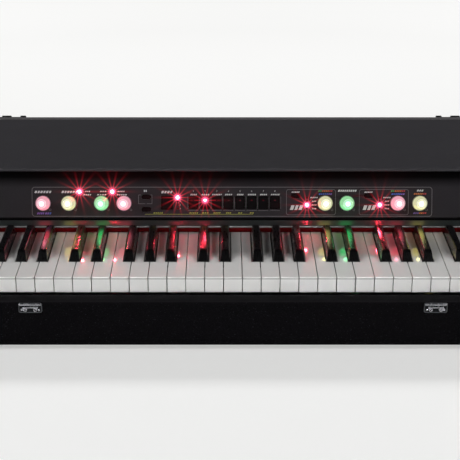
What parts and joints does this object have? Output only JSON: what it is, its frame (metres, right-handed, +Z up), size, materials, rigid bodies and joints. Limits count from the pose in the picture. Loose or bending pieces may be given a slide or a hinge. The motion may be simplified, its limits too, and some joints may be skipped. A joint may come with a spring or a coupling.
{
  "type": "electric piano",
  "caption": "Stage electric piano: a fabric-covered case with a flat hood, a leaning control panel with lit knobs and push buttons, and white and black keys on one pivot line.",
  "frame": {"origin": "middle of the outer box on the floor, between the feet", "axes": "+X along the keys to the player's right, +Y from the player to the back, +Z up"},
  "size_m": [1.16, 0.4344, 0.176],
  "materials": {
    "tolex": "black pebble-grained vinyl cloth glued over board, low sheen",
    "cheek": "satin black",
    "hood": "fine charcoal texture, soft sheen",
    "panel": "matt charcoal paint with pale printed lines",
    "rail": "satin charcoal",
    "felt": "dark red felt",
    "ivory": "polished warm white",
    "ebony": "polished black",
    "button": "satin black",
    "knob_rose": "frosted translucent, lit from inside in rose",
    "knob_amber": "frosted translucent, lit from inside in pale yellow",
    "knob_mint": "frosted translucent, lit from inside in green",
    "lens": "translucent red",
    "frame_metal": "mill-finish extrusion",
    "connector_metal": "satin black powder coat with bright nuts",
    "fitting_metal": "worn nickel plate",
    "circuit_board": "green laminate",
    "rubber": "black rubber"
  },
  "bodies": {
    "case": {"case_tray": "tolex", "cheek_block_left": "cheek", "cheek_block_right": "cheek", "key_frame": "frame_metal", "key_rail": "rail", "felt_strip": "felt", "hood": "hood", "control_panel": "panel", "panel_board": "circuit_board", "indicator_lenses": "lens", "connector_plate": "connector_metal", "jack_board": "circuit_board", "catch_plate_left": "fitting_metal", "catch_plate_right": "fitting_metal", "rear_hinge_left": "fitting_metal", "rear_hinge_right": "fitting_metal", "foot_front_left": "rubber", "foot_front_right": "rubber", "foot_rear_left": "rubber", "foot_rear_right": "rubber"},
    "white_keys_e1_to_b2": {"white_keys_e1_to_b2": "ivory"},
    "white_keys_c3_to_b3": {"white_keys_c3_to_b3": "ivory"},
    "white_keys_c5_to_b5": {"white_keys_c5_to_b5": "ivory"},
    "white_keys_c6_to_e7": {"white_keys_c6_to_e7": "ivory"},
    "black_keys_low": {"black_keys_low": "ebony"},
    "black_keys_high": {"black_keys_high": "ebony"},
    "key_c4": {"key_c4": "ivory"},
    "key_c_sharp4": {"key_c_sharp4": "ebony"},
    "key_d4": {"key_d4": "ivory"},
    "key_d_sharp4": {"key_d_sharp4": "ebony"},
    "key_e4": {"key_e4": "ivory"},
    "key_f4": {"key_f4": "ivory"},
    "key_f_sharp4": {"key_f_sharp4": "ebony"},
    "key_g4": {"key_g4": "ivory"},
    "key_g_sharp4": {"key_g_sharp4": "ebony"},
    "key_a4": {"key_a4": "ivory"},
    "key_a_sharp4": {"key_a_sharp4": "ebony"},
    "key_b4": {"key_b4": "ivory"},
    "knob_volume": {"knob_volume": "knob_rose"},
    "knob_reverb": {"knob_reverb": "knob_amber"},
    "knob_presence": {"knob_presence": "knob_mint"},
    "knob_depth": {"knob_depth": "knob_rose"},
    "knob_effect_1": {"knob_effect_1": "knob_amber"},
    "knob_drive": {"knob_drive": "knob_mint"},
    "knob_effect_2": {"knob_effect_2": "knob_rose"},
    "knob_pan": {"knob_pan": "knob_amber"},
    "program_button_1": {"program_button_1": "button"},
    "program_button_2": {"program_button_2": "button"},
    "program_button_3": {"program_button_3": "button"},
    "program_button_4": {"program_button_4": "button"},
    "program_button_5": {"program_button_5": "button"},
    "program_button_6": {"program_button_6": "button"},
    "program_button_7": {"program_button_7": "button"},
    "program_button_8": {"program_button_8": "button"},
    "bank_button": {"bank_button": "button"},
    "mode_button_upper": {"mode_button_upper": "button"},
    "mode_button_lower": {"mode_button_lower": "button"},
    "effect_1_select_button": {"effect_1_select_button": "button"},
    "effect_2_select_button": {"effect_2_select_button": "button"},
    "power_rocker": {"power_rocker": "button"}
  },
  "joints": [
    {"name": "white_keys_e1_to_b2_pivot", "type": "hinge", "parent": "case", "child": "white_keys_e1_to_b2", "pos_m": [-0.36425, 0.02655, 0.0777], "axis": [1, 0, 0], "range_deg": [0, 2.7], "stiffness_Nm_per_rad": 18, "springref_deg": -5.73},
    {"name": "white_keys_c3_to_b3_pivot", "type": "hinge", "parent": "case", "child": "white_keys_c3_to_b3", "pos_m": [-0.141, 0.02655, 0.0777], "axis": [1, 0, 0], "range_deg": [0, 2.7], "stiffness_Nm_per_rad": 10.5, "springref_deg": -5.73},
    {"name": "white_keys_c5_to_b5_pivot", "type": "hinge", "parent": "case", "child": "white_keys_c5_to_b5", "pos_m": [0.188, 0.02655, 0.0777], "axis": [1, 0, 0], "range_deg": [0, 2.7], "stiffness_Nm_per_rad": 10.5, "springref_deg": -5.73},
    {"name": "white_keys_c6_to_e7_pivot", "type": "hinge", "parent": "case", "child": "white_keys_c6_to_e7", "pos_m": [0.38775, 0.02655, 0.0777], "axis": [1, 0, 0], "range_deg": [0, 2.7], "stiffness_Nm_per_rad": 15, "springref_deg": -5.73},
    {"name": "black_keys_low_pivot", "type": "hinge", "parent": "case", "child": "black_keys_low", "pos_m": [-0.282, 0.02655, 0.0777], "axis": [1, 0, 0], "range_deg": [0, 2.7], "stiffness_Nm_per_rad": 13, "springref_deg": -5.73},
    {"name": "black_keys_high_pivot", "type": "hinge", "parent": "case", "child": "black_keys_high", "pos_m": [0.29375, 0.02655, 0.0777], "axis": [1, 0, 0], "range_deg": [0, 2.7], "stiffness_Nm_per_rad": 12, "springref_deg": -5.73},
    {"name": "key_c4_pivot", "type": "hinge", "parent": "case", "child": "key_c4", "pos_m": [-0.047, 0.02655, 0.0777], "axis": [1, 0, 0], "range_deg": [0, 2.7], "stiffness_Nm_per_rad": 1.5, "springref_deg": -5.73},
    {"name": "key_c_sharp4_pivot", "type": "hinge", "parent": "case", "child": "key_c_sharp4", "pos_m": [-0.0376, 0.02655, 0.0777], "axis": [1, 0, 0], "range_deg": [0, 2.7], "stiffness_Nm_per_rad": 1, "springref_deg": -5.73},
    {"name": "key_d4_pivot", "type": "hinge", "parent": "case", "child": "key_d4", "pos_m": [-0.0235, 0.02655, 0.0777], "axis": [1, 0, 0], "range_deg": [0, 2.7], "stiffness_Nm_per_rad": 1.5, "springref_deg": -5.73},
    {"name": "key_d_sharp4_pivot", "type": "hinge", "parent": "case", "child": "key_d_sharp4", "pos_m": [-0.0094, 0.02655, 0.0777], "axis": [1, 0, 0], "range_deg": [0, 2.7], "stiffness_Nm_per_rad": 1, "springref_deg": -5.73},
    {"name": "key_e4_pivot", "type": "hinge", "parent": "case", "child": "key_e4", "pos_m": [0, 0.02655, 0.0777], "axis": [1, 0, 0], "range_deg": [0, 2.7], "stiffness_Nm_per_rad": 1.5, "springref_deg": -5.73},
    {"name": "key_f4_pivot", "type": "hinge", "parent": "case", "child": "key_f4", "pos_m": [0.0235, 0.02655, 0.0777], "axis": [1, 0, 0], "range_deg": [0, 2.7], "stiffness_Nm_per_rad": 1.5, "springref_deg": -5.73},
    {"name": "key_f_sharp4_pivot", "type": "hinge", "parent": "case", "child": "key_f_sharp4", "pos_m": [0.03189, 0.02655, 0.0777], "axis": [1, 0, 0], "range_deg": [0, 2.7], "stiffness_Nm_per_rad": 1, "springref_deg": -5.73},
    {"name": "key_g4_pivot", "type": "hinge", "parent": "case", "child": "key_g4", "pos_m": [0.047, 0.02655, 0.0777], "axis": [1, 0, 0], "range_deg": [0, 2.7], "stiffness_Nm_per_rad": 1.5, "springref_deg": -5.73},
    {"name": "key_g_sharp4_pivot", "type": "hinge", "parent": "case", "child": "key_g_sharp4", "pos_m": [0.05875, 0.02655, 0.0777], "axis": [1, 0, 0], "range_deg": [0, 2.7], "stiffness_Nm_per_rad": 1, "springref_deg": -5.73},
    {"name": "key_a4_pivot", "type": "hinge", "parent": "case", "child": "key_a4", "pos_m": [0.0705, 0.02655, 0.0777], "axis": [1, 0, 0], "range_deg": [0, 2.7], "stiffness_Nm_per_rad": 1.5, "springref_deg": -5.73},
    {"name": "key_a_sharp4_pivot", "type": "hinge", "parent": "case", "child": "key_a_sharp4", "pos_m": [0.08561, 0.02655, 0.0777], "axis": [1, 0, 0], "range_deg": [0, 2.7], "stiffness_Nm_per_rad": 1, "springref_deg": -5.73},
    {"name": "key_b4_pivot", "type": "hinge", "parent": "case", "child": "key_b4", "pos_m": [0.094, 0.02655, 0.0777], "axis": [1, 0, 0], "range_deg": [0, 2.7], "stiffness_Nm_per_rad": 1.5, "springref_deg": -5.73},
    {"name": "knob_volume_turn", "type": "hinge", "parent": "case", "child": "knob_volume", "pos_m": [-0.25488, -0.02275, 0.12545], "axis": [0, -0.9563, 0.2924], "continuous": true},
    {"name": "knob_reverb_turn", "type": "hinge", "parent": "case", "child": "knob_reverb", "pos_m": [-0.22032, -0.02275, 0.12545], "axis": [0, -0.9563, 0.2924], "continuous": true},
    {"name": "knob_presence_turn", "type": "hinge", "parent": "case", "child": "knob_presence", "pos_m": [-0.17604, -0.02275, 0.12545], "axis": [0, -0.9563, 0.2924], "continuous": true},
    {"name": "knob_depth_turn", "type": "hinge", "parent": "case", "child": "knob_depth", "pos_m": [-0.1458, -0.02275, 0.12545], "axis": [0, -0.9563, 0.2924], "continuous": true},
    {"name": "knob_effect_1_turn", "type": "hinge", "parent": "case", "child": "knob_effect_1", "pos_m": [0.12555, -0.02275, 0.12545], "axis": [0, -0.9563, 0.2924], "continuous": true},
    {"name": "knob_drive_turn", "type": "hinge", "parent": "case", "child": "knob_drive", "pos_m": [0.15498, -0.02275, 0.12545], "axis": [0, -0.9563, 0.2924], "continuous": true},
    {"name": "knob_effect_2_turn", "type": "hinge", "parent": "case", "child": "knob_effect_2", "pos_m": [0.22356, -0.02275, 0.12545], "axis": [0, -0.9563, 0.2924], "continuous": true},
    {"name": "knob_pan_turn", "type": "hinge", "parent": "case", "child": "knob_pan", "pos_m": [0.25326, -0.02275, 0.12545], "axis": [0, -0.9563, 0.2924], "continuous": true},
    {"name": "program_button_1_press", "type": "slide", "parent": "case", "child": "program_button_1", "axis": [0, 0.9563, -0.2924], "range_m": [0, 0.0012], "stiffness_N_per_m": 150, "springref_m": -0.004},
    {"name": "program_button_2_press", "type": "slide", "parent": "case", "child": "program_button_2", "axis": [0, 0.9563, -0.2924], "range_m": [0, 0.0012], "stiffness_N_per_m": 150, "springref_m": -0.004},
    {"name": "program_button_3_press", "type": "slide", "parent": "case", "child": "program_button_3", "axis": [0, 0.9563, -0.2924], "range_m": [0, 0.0012], "stiffness_N_per_m": 150, "springref_m": -0.004},
    {"name": "program_button_4_press", "type": "slide", "parent": "case", "child": "program_button_4", "axis": [0, 0.9563, -0.2924], "range_m": [0, 0.0012], "stiffness_N_per_m": 150, "springref_m": -0.004},
    {"name": "program_button_5_press", "type": "slide", "parent": "case", "child": "program_button_5", "axis": [0, 0.9563, -0.2924], "range_m": [0, 0.0012], "stiffness_N_per_m": 150, "springref_m": -0.004},
    {"name": "program_button_6_press", "type": "slide", "parent": "case", "child": "program_button_6", "axis": [0, 0.9563, -0.2924], "range_m": [0, 0.0012], "stiffness_N_per_m": 150, "springref_m": -0.004},
    {"name": "program_button_7_press", "type": "slide", "parent": "case", "child": "program_button_7", "axis": [0, 0.9563, -0.2924], "range_m": [0, 0.0012], "stiffness_N_per_m": 150, "springref_m": -0.004},
    {"name": "program_button_8_press", "type": "slide", "parent": "case", "child": "program_button_8", "axis": [0, 0.9563, -0.2924], "range_m": [0, 0.0012], "stiffness_N_per_m": 150, "springref_m": -0.004},
    {"name": "bank_button_press", "type": "slide", "parent": "case", "child": "bank_button", "axis": [0, 0.9563, -0.2924], "range_m": [0, 0.0012], "stiffness_N_per_m": 150, "springref_m": -0.004},
    {"name": "mode_button_upper_press", "type": "slide", "parent": "case", "child": "mode_button_upper", "axis": [0, 0.9563, -0.2924], "range_m": [0, 0.0012], "stiffness_N_per_m": 150, "springref_m": -0.004},
    {"name": "mode_button_lower_press", "type": "slide", "parent": "case", "child": "mode_button_lower", "axis": [0, 0.9563, -0.2924], "range_m": [0, 0.0012], "stiffness_N_per_m": 150, "springref_m": -0.004},
    {"name": "effect_1_select_button_press", "type": "slide", "parent": "case", "child": "effect_1_select_button", "axis": [0, 0.9563, -0.2924], "range_m": [0, 0.0012], "stiffness_N_per_m": 150, "springref_m": -0.004},
    {"name": "effect_2_select_button_press", "type": "slide", "parent": "case", "child": "effect_2_select_button", "axis": [0, 0.9563, -0.2924], "range_m": [0, 0.0012], "stiffness_N_per_m": 150, "springref_m": -0.004},
    {"name": "power_rocker_tilt", "type": "hinge", "parent": "case", "child": "power_rocker", "pos_m": [-0.25627, 0.20815, 0.054], "axis": [-1, 0, 0], "range_deg": [0, 16]}
  ]
}
